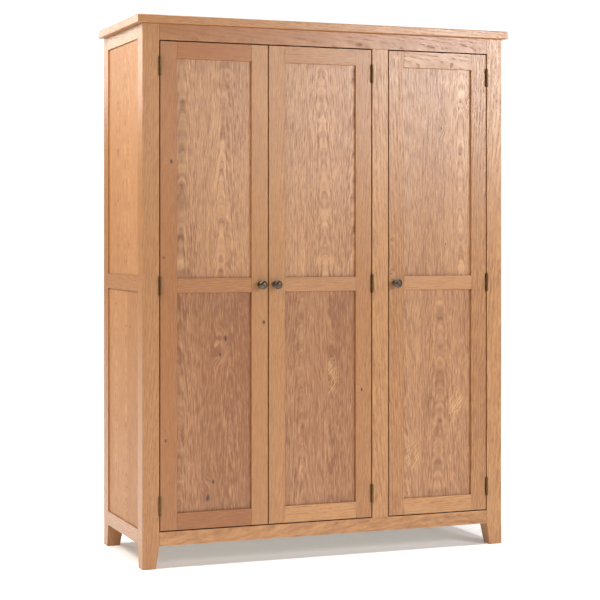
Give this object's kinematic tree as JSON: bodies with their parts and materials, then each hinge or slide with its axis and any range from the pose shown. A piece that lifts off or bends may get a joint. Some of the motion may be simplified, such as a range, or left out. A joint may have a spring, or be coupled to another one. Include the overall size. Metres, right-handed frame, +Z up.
{
  "type": "wardrobe",
  "caption": "Free-standing oak wardrobe with a slab top, tapered square feet, panelled sides, inset panelled hinged doors with round knobs, a hanging rail and shelves inside.",
  "frame": {"origin": "on the floor, under the middle of the whole wardrobe with its knobs", "axes": "+X to the right as seen from the front, +Y to the back, +Z up; the doors face -Y"},
  "size_m": [1.42, 0.553, 1.9],
  "materials": {
    "oak_frame": "honey oak, satin lacquer",
    "oak_panel": "honey oak, cathedral grain, satin lacquer",
    "inner_board": "pale oak-faced board, matt lacquer",
    "knob_bronze": "dark antique bronze, soft gloss",
    "hinge_brass": "antique brass, aged",
    "rail_steel": "satin steel"
  },
  "bodies": {
    "carcass": {"back_bottom_rail": "oak_frame", "back_panel": "inner_board", "floor_board": "inner_board", "front_bottom_rail": "oak_frame", "front_mid_stile": "oak_frame", "front_top_rail": "oak_frame", "hanging_rail": "rail_steel", "hat_shelf": "inner_board", "hinge_left_1": "hinge_brass", "hinge_left_2": "hinge_brass", "hinge_left_3": "hinge_brass", "hinge_middle_1": "hinge_brass", "hinge_middle_2": "hinge_brass", "hinge_middle_3": "hinge_brass", "hinge_right_1": "hinge_brass", "hinge_right_2": "hinge_brass", "hinge_right_3": "hinge_brass", "partition": "inner_board", "post_back_left": "oak_frame", "post_back_right": "oak_frame", "post_front_left": "oak_frame", "post_front_right": "oak_frame", "shelf_right_1": "inner_board", "shelf_right_2": "inner_board", "shelf_right_3": "inner_board", "side_bottom_rail_left": "oak_frame", "side_bottom_rail_right": "oak_frame", "side_mid_rail_left": "oak_frame", "side_mid_rail_right": "oak_frame", "side_panel_lower_left": "oak_panel", "side_panel_lower_right": "oak_panel", "side_panel_upper_left": "oak_panel", "side_panel_upper_right": "oak_panel", "side_top_rail_left": "oak_frame", "side_top_rail_right": "oak_frame", "top_board": "oak_frame"},
    "door_left": {"door_left_knob": "knob_bronze", "door_left_panel_lower": "oak_panel", "door_left_panel_upper": "oak_panel", "door_left_rail_bottom": "oak_frame", "door_left_rail_middle": "oak_frame", "door_left_rail_top": "oak_frame", "door_left_stile_left": "oak_frame", "door_left_stile_right": "oak_frame"},
    "door_middle": {"door_middle_knob": "knob_bronze", "door_middle_panel_lower": "oak_panel", "door_middle_panel_upper": "oak_panel", "door_middle_rail_bottom": "oak_frame", "door_middle_rail_middle": "oak_frame", "door_middle_rail_top": "oak_frame", "door_middle_stile_left": "oak_frame", "door_middle_stile_right": "oak_frame"},
    "door_right": {"door_right_knob": "knob_bronze", "door_right_panel_lower": "oak_panel", "door_right_panel_upper": "oak_panel", "door_right_rail_bottom": "oak_frame", "door_right_rail_middle": "oak_frame", "door_right_rail_top": "oak_frame", "door_right_stile_left": "oak_frame", "door_right_stile_right": "oak_frame"}
  },
  "joints": [
    {"name": "door_left_hinge", "type": "hinge", "parent": "carcass", "child": "door_left", "pos_m": [-0.628, -0.2479, 0.97], "axis": [0, 0, -1], "range_deg": [0, 170]},
    {"name": "door_middle_hinge", "type": "hinge", "parent": "carcass", "child": "door_middle", "pos_m": [0.16533, -0.2479, 0.97], "axis": [0, 0, 1], "range_deg": [0, 155]},
    {"name": "door_right_hinge", "type": "hinge", "parent": "carcass", "child": "door_right", "pos_m": [0.628, -0.2479, 0.97], "axis": [0, 0, 1], "range_deg": [0, 170]}
  ]
}
